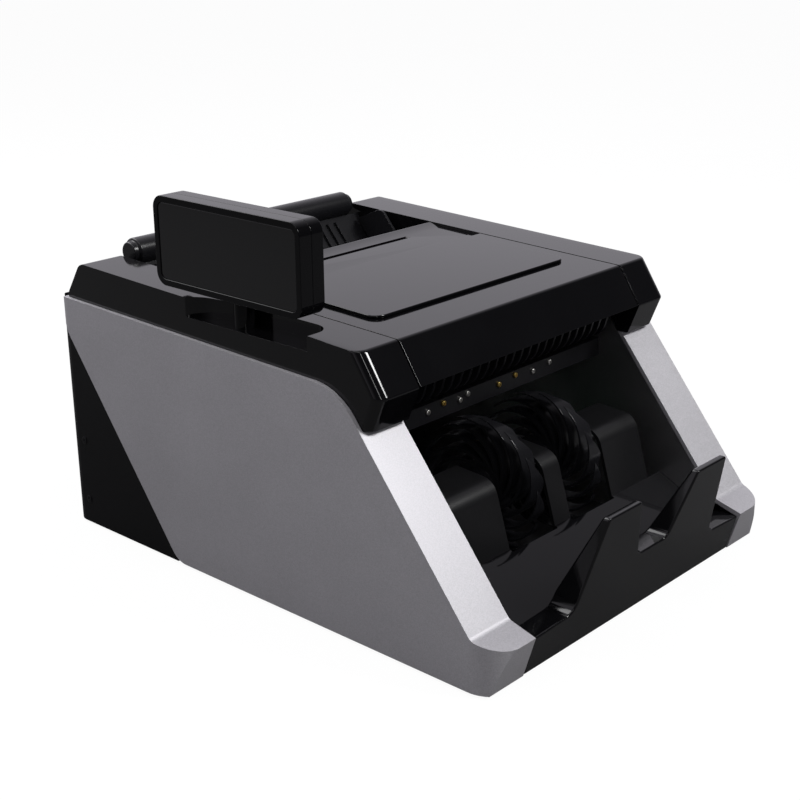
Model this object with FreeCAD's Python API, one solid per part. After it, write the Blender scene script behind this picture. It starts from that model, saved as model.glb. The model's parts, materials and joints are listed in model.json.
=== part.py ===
import FreeCAD, Part
import math
import os

os.makedirs("parts", exist_ok=True)
V = FreeCAD.Vector

# Overall sizes, in millimetres: X across, Y from front to rear, Z up from the table
body_width = 280.0
body_depth = 382.0
foot_height = 2.0
wall = 2.5
seam = 0.3
running_fit = 0.05

half_width = body_width / 2
front_y = -body_depth / 2
rear_y = body_depth / 2
base_z = foot_height
base_thickness = 3.0
deck_z = base_z + base_thickness

# Side profile: chin, foot, sloping pillar, shoulder, top edge, slanted rear boundary
fin_overhang = 13.0
chin_setback = 8.0
foot_top_height = 26.0
foot_depth = 18.0
foot_rise = 5.0
pillar_slope = 1.247
pillar_width = 33.0
shoulder_height = 149.2
shoulder_radius = 40.0
side_top_slope = 0.0284
rear_flange = 2.0
rail_rear_gap = 7.5
wing_top_height = 142.0
wing_slope = 1.342
wing_radius = 15.0
corner_radius_front = 20.0
corner_radius_rear = 12.0

foot_front_y = front_y + fin_overhang
foot_top_z = base_z + foot_top_height
chin_y = foot_front_y + chin_setback
pillar_foot_y = foot_front_y + foot_depth
pillar_foot_z = foot_top_z + foot_rise
shoulder_z = base_z + shoulder_height
shoulder_y = pillar_foot_y + (shoulder_z - pillar_foot_z) / pillar_slope
rear_wall_y = rear_y - rear_flange
panel_rear_y = rear_wall_y - wall - seam
wing_top_z = base_z + wing_top_height
rail_rear_y = panel_rear_y - rail_rear_gap
wing_foot_y = panel_rear_y - (wing_top_z - base_z) / wing_slope
throat = half_width - pillar_width

# Nose and top of the black cover
nose_drop = 21.2
nose_proud = 5.2
undercut_back = 8.0
undercut_rise = 20.0
drop_back = 16.0
drop_rise = 24.0
top_slope = 0.0332
top_chamfer = 3.0
rail_rear_run = 14.0
rail_rear_drop = 21.0

# Lid and hopper strip
hopper_share = 0.4005
lid_seam_y = rear_y - hopper_share * body_depth
lid_gap = 0.5
lid_wall = 3.0
lid_skirt = 10.0
bead_radius = 2.5
pin_radius = 1.5
pin_length = 11.0
panel_margin = 15.5
panel_front_share = 0.081
panel_front_margin = panel_front_share * body_depth
panel_rise = 2.0
panel_corner = 8.0
strip_depth = 47.0
strip_step = 2.0
strip_wall = 3.0
strip_lip_drop = 14.0
slot_end_margin = 40.0
slot_half = throat - slot_end_margin
slot_setback = 29.5
slot_width = 3.5

# Hopper ramp, bar and note guides
bar_setback = 30.0
bar_radius = 9.0
bar_rise = 0.8
bar_end_margin = 10.0
bar_half = throat - bar_end_margin
bar_step = 4.0
ramp_angle = 48.7
ramp_length = 88.0
ramp_wall = 2.5
rib_height = 2.0
rib_width = 3.0
rib_pitch = 8.0
rib_side_margin = 27.0
rib_half_span = throat - rib_side_margin
guide_inset = 7.0
guide_place = throat - guide_inset
guide_travel = 35.0
guide_wall = 2.0
guide_height = 25.0
guide_start = 6.0
guide_length = 56.0
guide_slot_place = 30.0
guide_slot_width = 7.0
guide_rod_radius = 3.0
guide_rod_depth = 9.0

# Stacker pocket
fin_height = 83.0
fin_top_width = 31.6
fin_inset = 62.3
fin_centre = throat - fin_inset
fin_wall = 5.0
fin_flare_outer = 10.2
fin_flare_inner = 14.0
valley_height = 43.0
fascia_side_height = 24.0
fascia_depth = 13.0
stacker_drop = 87.2
stacker_setback = 13.8
wheel_radius = 45.0
wheel_hub = 13.0
wheel_boss = 17.0
wheel_place = 29.0
wheel_width = 12.0
finger_count = 14
finger_root = 15.0
finger_sweep = 118.0
finger_wall = 2.4
finger_tip = 0.6
finger_slant = 16.0
first_tip = 65.0
plate_slot_inner = 8.0
plate_slot_outer = 52.0
plate_side_margin = 14.0
plate_half = throat - plate_side_margin
plate_wall = 2.0

# Shafts and drive
shaft_radius = 4.0
bush_wall = 2.5
bush_flange = 2.0
frame_wall = 2.0
feed_radius = 22.0
pickup_radius = 14.0
exit_radius = 12.0
pinch_radius = 8.0
retard_radius = 10.0
roller_width = 16.0
roller_inner = 30.0
roller_outer = throat - 37.0
roller_places = (-roller_outer, -roller_inner, roller_inner, roller_outer)
nip_gap = 0.5
belt_wall = 1.6
belt_width = 6.0
belt_gap = 0.35
belt_lane = 8.0
lane_gap = 3.0
pulley_lip = 0.5
motor_radius = 24.0
motor_length = 52.0
small_motor_radius = 15.0
small_motor_length = 40.0
pickup_gap = 1.0
feed_gap = 6.0
feed_drop = 8.0
retard_lean = 20.5
exit_gap = 2.0
exit_rise = 38.0
motor_setback = 12.0
motor_rise = 16.0
small_motor_gap = 4.0
small_motor_rise = 10.0

# Display
head_width = 123.0
head_height = 54.0
head_thickness = 18.0
head_corner = 8.0
head_offset = 1.5
head_corner_least = 1.0
neck_radius = 6.0
neck_inset = 11.5
neck_clear = 4.7
neck_setback = 99.0
recess_depth = 10.5
recess_front = 68.0
recess_rear = 62.0
recess_corner_front = (5.0, 8.0, 10.0)
recess_corner_middle = (1.5, 40.0)
recess_corner_rear = (8.0, 44.0, 20.0)


def corner_cut(before, point, after, radius):
    """The two tangent points and the middle of the arc that rounds a corner."""
    p = V(*point)
    u = (V(*before) - p).normalize()
    w = (V(*after) - p).normalize()
    half = u.getAngle(w) / 2
    run = radius / math.tan(half)
    middle = (u + w).normalize()
    return p + u * run, p + middle * (radius / math.sin(half) - radius), p + w * run


def profile(points, place):
    """A flat face from (a, b) or (a, b, radius) corners; place turns (a, b) into X, Y, Z."""
    spots = [place(c[0], c[1]) for c in points]
    runs = []
    for i, corner in enumerate(points):
        radius = corner[2] if len(corner) > 2 else 0
        if radius:
            after = spots[(i + 1) % len(spots)]
            runs.append(corner_cut(spots[i - 1], spots[i], after, radius))
        else:
            runs.append((V(*spots[i]),))
    edges = []
    for i, run in enumerate(runs):
        if len(run) == 3:
            edges.append(Part.Arc(*run).toShape())
        start = run[-1]
        end = runs[(i + 1) % len(runs)][0]
        if start.distanceToPoint(end) > 1e-6:
            edges.append(Part.LineSegment(start, end).toShape())
    return Part.Face(Part.Wire(edges))


def slab_x(points, low, high):
    """A profile of (y, z) corners, drawn along X."""
    return profile(points, lambda y, z: (low, y, z)).extrude(V(high - low, 0, 0))


def slab_y(points, low, high):
    """A profile of (x, z) corners, drawn along Y."""
    return profile(points, lambda x, z: (x, low, z)).extrude(V(0, high - low, 0))


def slab_z(points, low, high):
    """A profile of (x, y) corners, drawn along Z."""
    return profile(points, lambda x, y: (x, y, low)).extrude(V(0, 0, high - low))


def block(x, y, z):
    """A box between pairs of limits."""
    return Part.makeBox(x[1] - x[0], y[1] - y[0], z[1] - z[0], V(x[0], y[0], z[0]))


def rod_x(spot, radius, low, high):
    return Part.makeCylinder(radius, high - low, V(low, *spot), V(1, 0, 0))


def rod_y(spot, radius, low, high):
    return Part.makeCylinder(radius, high - low, V(spot[0], low, spot[1]), V(0, 1, 0))


def rod_z(spot, radius, low, high):
    return Part.makeCylinder(radius, high - low, V(spot[0], spot[1], low), V(0, 0, 1))


def tube_x(spot, outer, inner, low, high):
    return rod_x(spot, outer, low, high).cut(rod_x(spot, inner, low - over, high + over))


def left_of(shape):
    """The mirror image across the middle of the machine."""
    return shape.mirror(V(0, 0, 0), V(1, 0, 0))


def union(shapes):
    """One solid from pieces that overlap or meet."""
    whole = shapes[0].fuse(list(shapes[1:]))
    return whole.removeSplitter()


def save(name, *solids):
    shape = solids[0] if len(solids) == 1 else Part.makeCompound(list(solids))
    shape.exportStep("parts/" + name + ".step")


def pillar_y(z):
    """The front of the pillar at a height."""
    return pillar_foot_y + (z - pillar_foot_z) / pillar_slope


def side_top(y):
    """The top edge of the silver panel."""
    return shoulder_z + (y - shoulder_y) * side_top_slope


far = 2 * body_depth
over = 1.0
nose_foot_z = shoulder_z - nose_drop
nose_foot_y = pillar_y(nose_foot_z) - nose_proud
nose_edge_y = nose_foot_y - undercut_back
nose_edge_z = nose_foot_z + undercut_rise
nose_top_y = nose_edge_y + drop_back
nose_top_z = nose_edge_z + drop_rise


def top_z(y):
    """The sloping top of the black cover."""
    return nose_top_z + (y - nose_top_y) * top_slope


bar_spot = (rear_y - bar_setback, top_z(rear_y - bar_setback) + bar_rise)


def plan(inset, rear_limit):
    """The body seen from above, with rounded corners, drawn in by inset."""
    side = half_width - inset
    front_radius = corner_radius_front - inset
    rear_radius = corner_radius_rear - inset
    corners = [
        (-side, foot_front_y + inset, front_radius),
        (side, foot_front_y + inset, front_radius),
        (side, rear_limit, rear_radius),
        (-side, rear_limit, rear_radius),
    ]
    return slab_z(corners, 0, top_z(rear_y) + wall)


# Side panels: moulded trays, open inward, with the pillar and foot as their front wall
pillar_inset = wall * math.hypot(1, 1 / pillar_slope)
frame_foot_y = pillar_foot_y + pillar_inset + seam
boss_radius = 5.0
boss_front = (26.0, 30.0)
boss_upper = (85.0, 12.0)
boss_rear = (36.0, 22.0)
boss_lower = (95.0, 15.0)
knee_radius = 6.0
boss_spots = [
    (pillar_y(foot_top_z + boss_front[1]) + boss_front[0], foot_top_z + boss_front[1]),
    (shoulder_y + boss_upper[0], shoulder_z - boss_upper[1]),
    (panel_rear_y - boss_rear[0], shoulder_z - boss_rear[1]),
    (shoulder_y + boss_lower[0], deck_z + boss_lower[1]),
]
side_outline = [
    (chin_y, base_z),
    (foot_front_y, foot_top_z),
    (pillar_foot_y, pillar_foot_z, knee_radius),
    (shoulder_y, shoulder_z, shoulder_radius),
    (panel_rear_y, side_top(panel_rear_y), knee_radius),
    (panel_rear_y, wing_top_z),
    (wing_foot_y, base_z, wing_radius),
]
flange_top_z = nose_foot_z - seam
panel_void = [
    (chin_y + wall, 0),
    (chin_y + wall, base_z),
    (foot_front_y + wall, foot_top_z - wall),
    (pillar_y(pillar_foot_z - wall) + pillar_inset, pillar_foot_z - wall),
    (pillar_y(flange_top_z) + pillar_inset, flange_top_z),
    (-far, flange_top_z),
    (-far, far),
    (far, far),
    (far, 0),
]
panel_solid = slab_x(side_outline, throat, half_width).common(plan(0, rear_wall_y))
panel_hollow = slab_x(panel_void, throat - over, half_width - wall).common(plan(wall, far))
panel_bosses = [
    rod_x(spot, boss_radius, throat + frame_wall, half_width - wall) for spot in boss_spots
]
panel_ledge = panel_solid.common(
    block(
        (throat + frame_wall + seam, half_width),
        (rail_rear_y + seam, panel_rear_y),
        (side_top(rail_rear_y) - wall, far),
    )
)
side_panel = union([panel_solid.cut(panel_hollow), panel_ledge] + panel_bosses)
save("right_side_panel", side_panel)
save("left_side_panel", left_of(side_panel))

# Rear housing: rear wall with its two wings and the sloping deck behind the hopper
wing_inset = 0.5
wing_gap = seam * math.hypot(1, 1 / wing_slope)
deck_top_z = side_top(panel_rear_y)
inlet_inset = 48.0
inlet_place = half_width - inlet_inset
inlet_height = 32.0
inlet_size = (27.0, 19.6)
switch_inset = 85.0
switch_place = half_width - switch_inset
switch_size = (19.0, 13.0)
cutout_gap = 0.2
vent_count = 9
vent_pitch = 8.0
vent_inset = 40.0
vent_start = vent_inset - half_width
vent_width = 3.0
vent_low = 55.0
vent_high = 95.0
vent_heights = (deck_z + vent_low, deck_z + vent_high)
housing_foot_radius = 8.0
housing_top_radius = 2.0
deck_lap = 1.0
deck_root = 1.3 * wall
housing_outline = [
    (wing_foot_y + wing_gap, base_z),
    (rear_wall_y, base_z, housing_foot_radius),
    (rear_wall_y, deck_top_z, housing_top_radius),
    (panel_rear_y + seam, deck_top_z),
    (panel_rear_y + seam, wing_top_z),
]
housing_half = half_width - wing_inset
housing_solid = slab_x(housing_outline, -housing_half, housing_half).common(plan(wing_inset, rear_wall_y))
housing_hollow = slab_x(
    [(-far, 0), (rear_wall_y - wall, 0), (rear_wall_y - wall, far), (-far, far)],
    wall + wing_inset - half_width,
    half_width - wall - wing_inset,
).common(plan(wall + wing_inset, rear_wall_y - wall))
deck_half = throat - lid_gap - seam
deck_front = (bar_spot[0] + deck_lap, bar_spot[1] - bar_radius - seam)
rear_deck = slab_x(
    [
        (rear_wall_y - wall / 2, deck_top_z),
        deck_front,
        (deck_front[0], deck_front[1] - wall),
        (rear_wall_y - wall / 2, deck_top_z - deck_root),
    ],
    -deck_half,
    deck_half,
)
housing = union([housing_solid.cut(housing_hollow), rear_deck])


def rear_cutout(place, height, size):
    """A rectangular hole through the rear wall."""
    x = (place - size[0] / 2 - cutout_gap, place + size[0] / 2 + cutout_gap)
    z = (height - size[1] / 2 - cutout_gap, height + size[1] / 2 + cutout_gap)
    return block(x, (rear_wall_y - 2 * wall, rear_y), z)


cutouts = [
    rear_cutout(inlet_place, inlet_height, inlet_size),
    rear_cutout(switch_place, inlet_height, switch_size),
]
for i in range(vent_count):
    x = vent_start + i * vent_pitch
    cutouts.append(block((x, x + vent_width), (rear_wall_y - 2 * wall, rear_y), vent_heights))
save("rear_housing", housing.cut(cutouts))

# Base tray, with a low rim all round
fascia_rear_y = chin_y + fascia_depth
tray_rim = 10.0
tray_lap = 10.0
tray_side = half_width - wall - seam - wing_inset
tray_rear_y = rear_wall_y - wall - seam
tray_plan = plan(half_width - tray_side, tray_rear_y)
tray_limits = block((-far, far), (fascia_rear_y, far), (base_z, deck_z + tray_rim))
tray_core = block((wall - tray_side, tray_side - wall), (-far, tray_rear_y - wall), (deck_z, far))
throat_clear = block((-half_width, half_width), (-far, frame_foot_y + tray_lap), (deck_z, far))
save("base_tray", tray_plan.common(tray_limits).cut([tray_core, throat_clear]))

# Rubber feet under the base
foot_radius = 9.0
foot_inset = 30.0
foot_front = 14.0
foot_rear = 22.0
foot_rows = (fascia_rear_y + foot_front, tray_rear_y - foot_rear)
foot_places = [(side * (half_width - foot_inset), y) for side in (-1, 1) for y in foot_rows]
save("rubber_feet", *[rod_z(spot, foot_radius, 0, base_z) for spot in foot_places])

# Places of the shafts, as (y, z)
ramp_cos = math.cos(math.radians(ramp_angle))
ramp_sin = math.sin(math.radians(ramp_angle))
ramp_top = (bar_spot[0] - bar_radius * ramp_cos, bar_spot[1] - bar_radius * ramp_sin - seam)


def on_ramp(along, above):
    """A point measured down the ramp and square to it."""
    y = ramp_top[0] - along * ramp_cos - above * ramp_sin
    z = ramp_top[1] - along * ramp_sin + above * ramp_cos
    return (y, z)


pickup_spot = on_ramp(ramp_length + pickup_radius + pickup_gap, -pickup_radius)
feed_spot = (pickup_spot[0] - feed_radius - pickup_radius - feed_gap, pickup_spot[1] - feed_drop)
retard_reach = feed_radius + retard_radius + nip_gap
retard_turn = math.radians(retard_lean)
retard_spot = (
    feed_spot[0] - retard_reach * math.sin(retard_turn),
    feed_spot[1] + retard_reach * math.cos(retard_turn),
)
stacker_spot = (shoulder_y - stacker_setback, shoulder_z - stacker_drop)
exit_spot = (stacker_spot[0] + wheel_radius + exit_radius + exit_gap, stacker_spot[1] + exit_rise)
pinch_spot = (exit_spot[0], exit_spot[1] + exit_radius + pinch_radius + nip_gap)
motor_spot = (pickup_spot[0] + motor_setback, deck_z + motor_radius + motor_rise)
small_motor_spot = (
    stacker_spot[0] + wheel_radius + small_motor_radius + small_motor_gap,
    deck_z + small_motor_radius + small_motor_rise,
)
turning_spots = [pickup_spot, feed_spot, exit_spot, pinch_spot, stacker_spot]
held_spots = turning_spots + [retard_spot]

# Frame plates: two steel cheeks between the base and the rails, bored for the bushes
frame_top_drop = 2.7
frame_rear_lap = 4.0
frame_corner = 6.0
frame_top_z = shoulder_z - frame_top_drop
frame_rear_y = bar_spot[0] + frame_rear_lap
bush_radius = shaft_radius + bush_wall
frame_outline = [
    (frame_foot_y, deck_z),
    (frame_foot_y, pillar_foot_z),
    (pillar_y(frame_top_z) + pillar_inset + seam, frame_top_z),
    (frame_rear_y, frame_top_z, frame_corner),
    (frame_rear_y, deck_z),
]
motor_shaft_radius = 3.0
motor_hole_play = 2.0
motor_hole = motor_shaft_radius + motor_hole_play
frame_bores = [
    rod_x(spot, bush_radius + running_fit, throat - over, throat + frame_wall + over) for spot in held_spots
]
motor_bores = [
    rod_x(spot, motor_hole, throat - over, throat + frame_wall + over)
    for spot in (motor_spot, small_motor_spot)
]
frame_plate = slab_x(frame_outline, throat, throat + frame_wall)
save("right_frame_plate", frame_plate.cut(frame_bores + motor_bores))
save("left_frame_plate", left_of(frame_plate.cut(frame_bores)))

# Flanged bushes in both plates
flange_radius = bush_radius + bush_flange
bushes = []
for spot in held_spots:
    sleeve = tube_x(spot, bush_radius, shaft_radius + running_fit, throat, throat + frame_wall)
    flange = tube_x(spot, flange_radius, shaft_radius + running_fit, throat - bush_flange, throat)
    bush = union([sleeve, flange])
    bushes += [bush, left_of(bush)]
save("shaft_bushes", *bushes)

# Top rails: black shells on the frame plates, with the nose at their front end
rail_outer = half_width - wall - seam
rail_inner = throat - lid_gap
rail_base_z = frame_top_z
rail_knee_y = rail_rear_y - rail_rear_run
heel_gap = 1.2
heel_run = 8.0
nose_heel_y = pillar_y(nose_foot_z) + pillar_inset - heel_gap
nose_radii = (1.0, 2.0)
rail_rear_radii = (8.0, 4.0)
under_wall = 1.3 * wall
drop_wall = 1.2 * wall
bend_wall = 0.6 * wall
heel_wall = 0.2
skirt_run = 22.0
skirt_reach = 25.0
skirt_heel = 6.0
rail_outline = [
    (nose_foot_y, nose_foot_z, nose_radii[0]),
    (nose_edge_y, nose_edge_z, nose_radii[1]),
    (nose_top_y, nose_top_z, top_chamfer),
    (rail_knee_y, top_z(rail_knee_y), rail_rear_radii[0]),
    (rail_rear_y, top_z(rail_knee_y) - rail_rear_drop, rail_rear_radii[1]),
    (rail_rear_y, rail_base_z),
    (nose_heel_y + heel_run, rail_base_z),
    (nose_heel_y, nose_foot_z),
]
rail_hollow = [
    (nose_foot_y + under_wall, nose_foot_z + wall),
    (nose_edge_y + drop_wall, nose_edge_z),
    (nose_top_y + bend_wall, nose_top_z - wall),
    (rail_knee_y - bend_wall, top_z(rail_knee_y) - wall),
    (rail_rear_y - wall, top_z(rail_knee_y) - rail_rear_drop - wall),
    (rail_rear_y - wall, rail_base_z - over),
    (nose_heel_y + heel_run + wall, rail_base_z - over),
    (nose_heel_y - heel_wall, nose_foot_z + wall),
]
rail_solid = slab_x(rail_outline, rail_inner, rail_outer)
rail_cavity = slab_x(rail_hollow, rail_inner + wall, rail_outer - wall)
pivot_y = lid_seam_y - lid_gap / 2 - bead_radius
pivot = (pivot_y, top_z(pivot_y) - bead_radius)
pin_bore = rod_x(pivot, pin_radius + running_fit, rail_inner - over, rail_inner + wall + over)
rail_skirt = slab_x(
    [
        (nose_heel_y - wall, nose_foot_z),
        (nose_heel_y + skirt_run, nose_foot_z),
        (shoulder_y + skirt_reach, rail_base_z + over),
        (nose_heel_y + skirt_heel, rail_base_z + over),
    ],
    rail_outer - wall,
    rail_outer,
)
save("right_top_rail", union([rail_solid.cut([rail_cavity, pin_bore]), rail_skirt]))

# The left rail also has the open recess that the display's neck stands in
neck_spot = (neck_inset - half_width, nose_top_y + neck_setback)
recess_floor_z = top_z(neck_spot[1]) - recess_depth
recess_front_y = neck_spot[1] - recess_front
recess_reach = neck_spot[0] + neck_radius


def recess(grow):
    """The recess, or with grow the block that its walls are cut from."""
    front = recess_corner_front
    middle = recess_corner_middle
    rear = recess_corner_rear
    corners = [
        (-far, recess_front_y - grow),
        (recess_reach + front[0] + grow, recess_front_y + front[1] - grow, front[2]),
        (recess_reach + middle[0] + grow, neck_spot[1], middle[1]),
        (recess_reach - rear[0] + grow, neck_spot[1] + rear[1] + grow, rear[2]),
        (-far, neck_spot[1] + recess_rear + grow),
    ]
    return slab_z(corners, recess_floor_z - grow, far)


left_cavity = left_of(rail_cavity).cut(recess(wall))
neck_hole = rod_z(neck_spot, neck_radius + running_fit, recess_floor_z - 2 * wall, far)
left_rail = left_of(rail_solid).cut([left_cavity, left_of(pin_bore), recess(0), neck_hole])
save("left_top_rail", union([left_rail, left_of(rail_skirt)]))

# Lid: a shell between the rails, hung on a round bead along its rear edge
lid_half = rail_inner - lid_gap
lid_foot = 7.0
lid_haunch = 4.0
lid_bend_wall = 0.5 * lid_wall
lid_drop_wall = 1.3 * lid_wall
lid_lip = 5.0
lid_front = [
    (nose_top_y, nose_top_z, top_chamfer),
    (nose_edge_y, nose_edge_z),
]
lid_outline = lid_front + [
    (nose_edge_y + lid_foot, nose_edge_z),
    (nose_top_y + lid_skirt + lid_haunch, nose_top_z - lid_wall - lid_skirt),
    (pivot[0] - 2 * lid_skirt, top_z(pivot[0]) - lid_wall - lid_skirt),
    (pivot[0], pivot[1] - bead_radius),
    (pivot[0], pivot[1] + bead_radius),
]
lid_drop_y = nose_edge_y + lid_drop_wall
lid_hollow = [
    (nose_top_y + lid_bend_wall, nose_top_z - lid_wall),
    (lid_drop_y, nose_edge_z + lid_wall),
    (lid_drop_y + lid_lip, nose_edge_z + lid_wall),
    (lid_drop_y + lid_lip, nose_edge_z - lid_skirt),
    (pivot[0] - bead_radius, nose_edge_z - lid_skirt),
    (pivot[0] - bead_radius, top_z(pivot[0]) - lid_wall),
]
lid_body = slab_x(lid_outline, -lid_half, lid_half)
lid_body = lid_body.cut(slab_x(lid_hollow, lid_wall - lid_half, lid_half - lid_wall))
pin_seat = lid_half - (pin_length - lid_gap - wall)
pin_holes = [rod_x(pivot, pin_radius, pin_seat, lid_half + over)]
pin_holes.append(left_of(pin_holes[0]))
lid_bead = rod_x(pivot, bead_radius, -lid_half, lid_half)
save("lid_shell", union([lid_body, lid_bead]).cut(pin_holes))
hinge_pin = rod_x(pivot, pin_radius, pin_seat, pin_seat + pin_length)
save("lid_hinge_pins", hinge_pin, left_of(hinge_pin))

# Raised panel on the lid
panel_half = lid_half - panel_margin
panel_front_y = nose_top_y + panel_front_margin
panel_rear_gap = 0.5
panel_back_y = pivot[0] - panel_rear_gap
panel_plan = slab_z(
    [
        (-panel_half, panel_front_y, panel_corner),
        (panel_half, panel_front_y, panel_corner),
        (panel_half, panel_back_y),
        (-panel_half, panel_back_y),
    ],
    0,
    far,
)
panel_sheet = slab_x(
    [
        (panel_front_y, top_z(panel_front_y)),
        (panel_back_y, top_z(panel_back_y)),
        (panel_back_y, top_z(panel_back_y) + panel_rise),
        (panel_front_y, top_z(panel_front_y) + panel_rise),
    ],
    -panel_half,
    panel_half,
)
save("lid_panel", panel_sheet.common(panel_plan))

# Hopper front strip, a step below the rails, with the finger slot and the lip
strip_front_y = lid_seam_y + lid_gap / 2
strip_rear_y = strip_front_y + strip_depth
slot_front_y = strip_front_y + slot_setback
slot_rear_y = slot_front_y + slot_width
strip_half = rail_inner - seam
strip_lip_radius = 3.0


def strip_z(y):
    """The top of the hopper strip before its lip."""
    return top_z(y) - strip_step


strip_outline = [
    (strip_front_y, strip_z(strip_front_y)),
    (slot_rear_y, strip_z(slot_rear_y)),
    (strip_rear_y, top_z(strip_rear_y), strip_lip_radius),
    (strip_rear_y, top_z(strip_rear_y) - strip_lip_drop),
    (strip_rear_y - strip_wall, top_z(strip_rear_y) - strip_lip_drop),
    (strip_rear_y - strip_wall, top_z(strip_rear_y) - 2 * strip_wall),
    (slot_rear_y, strip_z(slot_rear_y) - strip_wall),
    (strip_front_y, strip_z(strip_front_y) - strip_wall),
]
strip_slot = block((-slot_half, slot_half), (slot_front_y, slot_rear_y), (0, far))
save("hopper_front_strip", slab_x(strip_outline, -strip_half, strip_half).cut(strip_slot))

# Hopper ramp with its ribs and the two slots that the note guides slide in
ramp_half = rail_inner - seam
ramp_plate = slab_x(
    [on_ramp(0, 0), on_ramp(ramp_length, 0), on_ramp(ramp_length, -ramp_wall), on_ramp(0, -ramp_wall)],
    -ramp_half,
    ramp_half,
)
rib_start = 3.0
rib_end = ramp_length - 2.0
rib_outline = [
    on_ramp(rib_start, -ramp_wall / 2),
    on_ramp(rib_end, -ramp_wall / 2),
    on_ramp(rib_end - rib_height, rib_height),
    on_ramp(rib_start + rib_height, rib_height),
]
rib_count = int(2 * rib_half_span / rib_pitch) + 1
ribs = []
for i in range(rib_count):
    x = i * rib_pitch - rib_half_span
    ribs.append(slab_x(rib_outline, x - rib_width / 2, x + rib_width / 2))
slot_low = guide_slot_place - guide_slot_width / 2
slot_high = guide_slot_place + guide_slot_width / 2
slot_reach = 9.0
stem_width = 4.0
guide_slot = slab_x(
    [
        on_ramp(slot_low, -slot_reach),
        on_ramp(slot_high, -slot_reach),
        on_ramp(slot_high, slot_reach),
        on_ramp(slot_low, slot_reach),
    ],
    guide_place - guide_travel - stem_width,
    guide_place + stem_width,
)
save("hopper_ramp", union([ramp_plate] + ribs).cut([guide_slot, left_of(guide_slot)]))

# Round bar along the top of the ramp, with stepped ends
bar_core = rod_x(bar_spot, bar_radius, -bar_half, bar_half)
bar_end_radius = bar_radius - 2.0
bar_ends = rod_x(bar_spot, bar_end_radius, -bar_half - bar_step, bar_half + bar_step)
save("hopper_bar", union([bar_core, bar_ends]))

# Note guides: upright plates whose blocks slide on a rod behind the ramp
rod_spot = on_ramp(guide_slot_place, -ramp_wall - guide_rod_depth)
save("guide_rod", rod_x(rod_spot, guide_rod_radius, -rail_inner, rail_inner))
guide_clear = 1.0
guide_rake = 8.0
guide_radii = (10.0, 6.0)
stem_play = 0.5
stem_bite = 2.0
stem_lap = 4.0
block_clear = 1.0
block_margin = 3.0
block_inner = 6.0
block_outer = 4.0
guide_foot = rib_height + guide_clear
guide_top = guide_foot + guide_height
guide_end = guide_start + guide_length
guide_plate = slab_x(
    [
        on_ramp(guide_start, guide_foot),
        on_ramp(guide_end, guide_foot),
        on_ramp(guide_end, guide_top) + (guide_radii[0],),
        on_ramp(guide_start + guide_rake, guide_top) + (guide_radii[1],),
    ],
    guide_place,
    guide_place + guide_wall,
)
stem_low = slot_low + stem_play
stem_high = slot_high - stem_play
stem_depth = -ramp_wall - stem_bite
guide_stem = slab_x(
    [
        on_ramp(stem_low, stem_depth),
        on_ramp(stem_high, stem_depth),
        on_ramp(stem_high, guide_foot + stem_lap),
        on_ramp(stem_low, guide_foot + stem_lap),
    ],
    guide_place + guide_wall - stem_width,
    guide_place + guide_wall,
)
block_top = -ramp_wall - block_clear
block_deep = -ramp_wall - 2 * guide_rod_depth
guide_block = slab_x(
    [
        on_ramp(slot_low - block_margin, block_top),
        on_ramp(slot_high + block_margin, block_top),
        on_ramp(slot_high + block_margin, block_deep),
        on_ramp(slot_low - block_margin, block_deep),
    ],
    guide_place - block_inner,
    guide_place + block_outer,
).cut(rod_x(rod_spot, guide_rod_radius + running_fit, 0, throat))
note_guide = union([guide_plate, guide_stem, guide_block])
save("right_note_guide", note_guide)
save("left_note_guide", left_of(note_guide))

# Front fascia: a slanted wall between the feet with two upright fins
fin_top_z = base_z + fin_height
fascia_half = throat - seam
fascia_knee = (4.0, 8.0, 30.0)
valley_radius = 6.0
fin_tip_radius = 2.0
flare_radius = 8.0
flare_rise = 2.0
fin_outer = fin_centre + fin_top_width / 2
fin_inner = fin_centre - fin_top_width / 2
fascia_side_z = base_z + fascia_side_height
valley_z = base_z + valley_height
valley_half = fin_inner - fin_flare_inner
valley_round = min(valley_radius, valley_half / 2)
fascia_profile = [
    (chin_y, base_z),
    (front_y, fin_top_z),
    (front_y + fin_wall, fin_top_z),
    (fascia_rear_y - fascia_knee[0], fascia_side_z + fascia_knee[1], fascia_knee[2]),
    (fascia_rear_y, base_z),
]
right_fin = [
    (valley_half, valley_z, valley_round),
    (fin_inner, fin_top_z, fin_tip_radius),
    (fin_outer, fin_top_z, fin_tip_radius),
    (fin_outer + fin_flare_outer, fascia_side_z + flare_rise, flare_radius),
    (fascia_half, fascia_side_z),
    (fascia_half, base_z),
]
left_fin = [(-c[0],) + tuple(c[1:]) for c in reversed(right_fin)]
fascia_front = slab_y(right_fin + left_fin, front_y - over, fascia_rear_y + over)
save("front_fascia", slab_x(fascia_profile, -fascia_half, fascia_half).common(fascia_front))

# Stacker back plate: inclined sheet with a rolled top and slots for the finger wheels
plate_rise = 54.0
plate_lean = 0.303
plate_foot_drop = 37.0
plate_lap = 3.0
plate_crown = 2.0
plate_bend_radii = (12.0, 10.0)
slot_foot = 8.0
slot_front = 20.0
slot_back = 5.0
tab_lap = 4.0
tab_depth = 8.0
tab_heights = (0.5, 5.0)
plate_foot = (stacker_spot[0] - wheel_radius + plate_lap, stacker_spot[1] - plate_foot_drop)
plate_bend = (plate_foot[0] + plate_rise * plate_lean, plate_foot[1] + plate_rise)
plate_back = (stacker_spot[0] + plate_lap, plate_bend[1] + plate_crown)
plate_outline = [
    plate_foot,
    plate_bend + (plate_bend_radii[0],),
    plate_back,
    (plate_back[0], plate_back[1] - plate_wall),
    (plate_bend[0] + plate_wall, plate_bend[1] - plate_wall, plate_bend_radii[1]),
    (plate_foot[0] + plate_wall, plate_foot[1]),
]
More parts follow.
